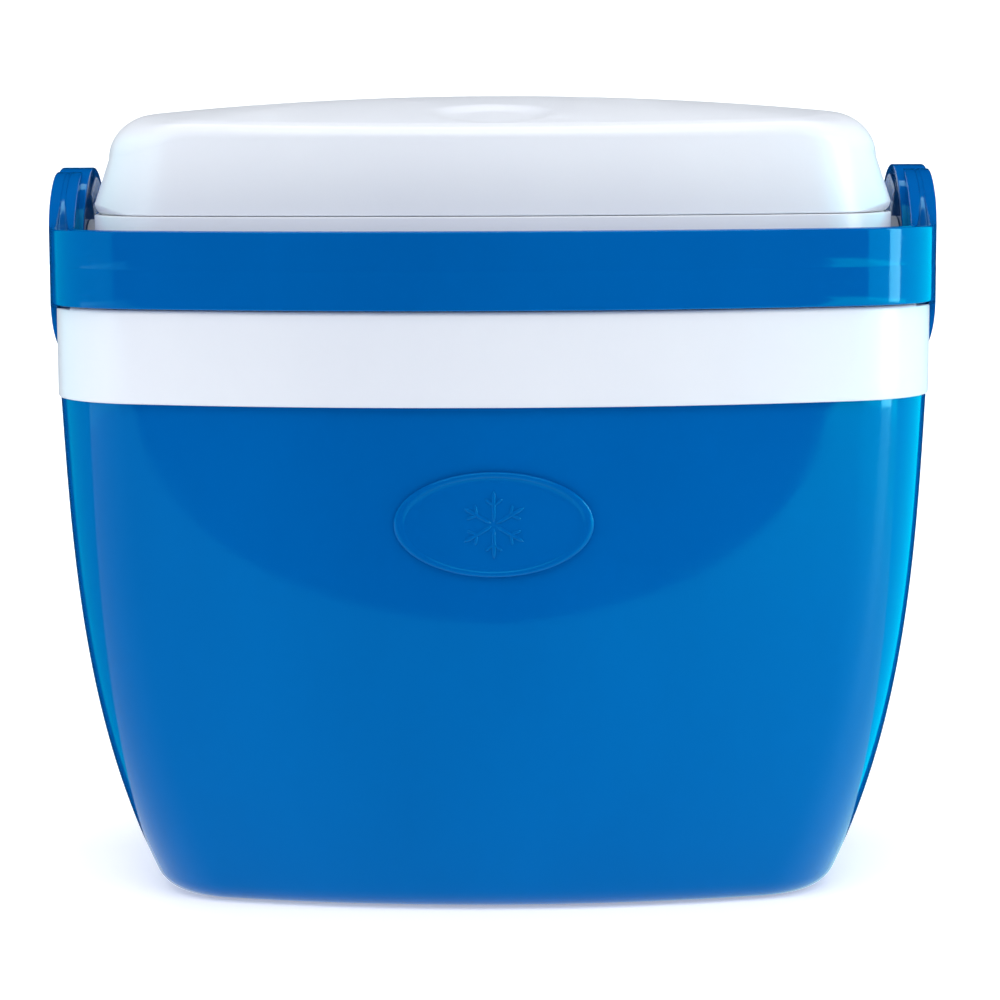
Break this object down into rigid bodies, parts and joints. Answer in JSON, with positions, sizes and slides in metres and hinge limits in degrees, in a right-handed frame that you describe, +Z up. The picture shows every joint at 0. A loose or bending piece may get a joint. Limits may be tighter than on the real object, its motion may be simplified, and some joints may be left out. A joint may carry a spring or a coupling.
{
  "type": "cooler chest",
  "caption": "Insulated cooler chest with a tapered blue tub, a pale collar, a lift-off domed lid and a swinging bail handle.",
  "frame": {"origin": "centre of the whole part's box in plan, at the flat underside of the tub", "axes": "+Z up, -Y the front where the handle lies at rest, +X the right-hand end seen from the front"},
  "size_m": [0.437, 0.316, 0.3861],
  "materials": {
    "blue_plastic": "glossy moulded polypropylene with faint flow and fine scuffs",
    "pale_plastic": "satin off-white moulded polypropylene",
    "liner_plastic": "smooth food-safe liner",
    "foam": "rigid closed-cell insulation",
    "gasket_rubber": "soft extruded seal",
    "pin_plastic": "natural acetal bearing plastic",
    "steel": "turned steel"
  },
  "bodies": {
    "chest": {"outer_shell": "blue_plastic", "body_foam": "foam", "inner_liner": "liner_plastic", "collar": "pale_plastic", "front_badge": "blue_plastic", "pivot_pin_right": "steel", "pivot_bush_right": "pin_plastic", "pivot_washer_right": "pin_plastic", "pin_clip_right": "steel", "pivot_pin_left": "steel", "pivot_bush_left": "pin_plastic", "pivot_washer_left": "pin_plastic", "pin_clip_left": "steel"},
    "handle": {"handle": "blue_plastic", "hub_cap_right": "blue_plastic", "hub_cap_left": "blue_plastic"},
    "lid": {"lid_shell": "pale_plastic", "lid_foam": "foam", "lid_panel": "liner_plastic", "lid_gasket": "gasket_rubber"}
  },
  "joints": [
    {"name": "handle_swing", "type": "hinge", "parent": "chest", "child": "handle", "pos_m": [0, 0.001, 0.306], "axis": [-1, 0, 0], "range_deg": [0, 180]},
    {"name": "lid_lift", "type": "slide", "parent": "chest", "child": "lid", "axis": [0, 0, 1], "range_m": [0, 0.09]}
  ]
}
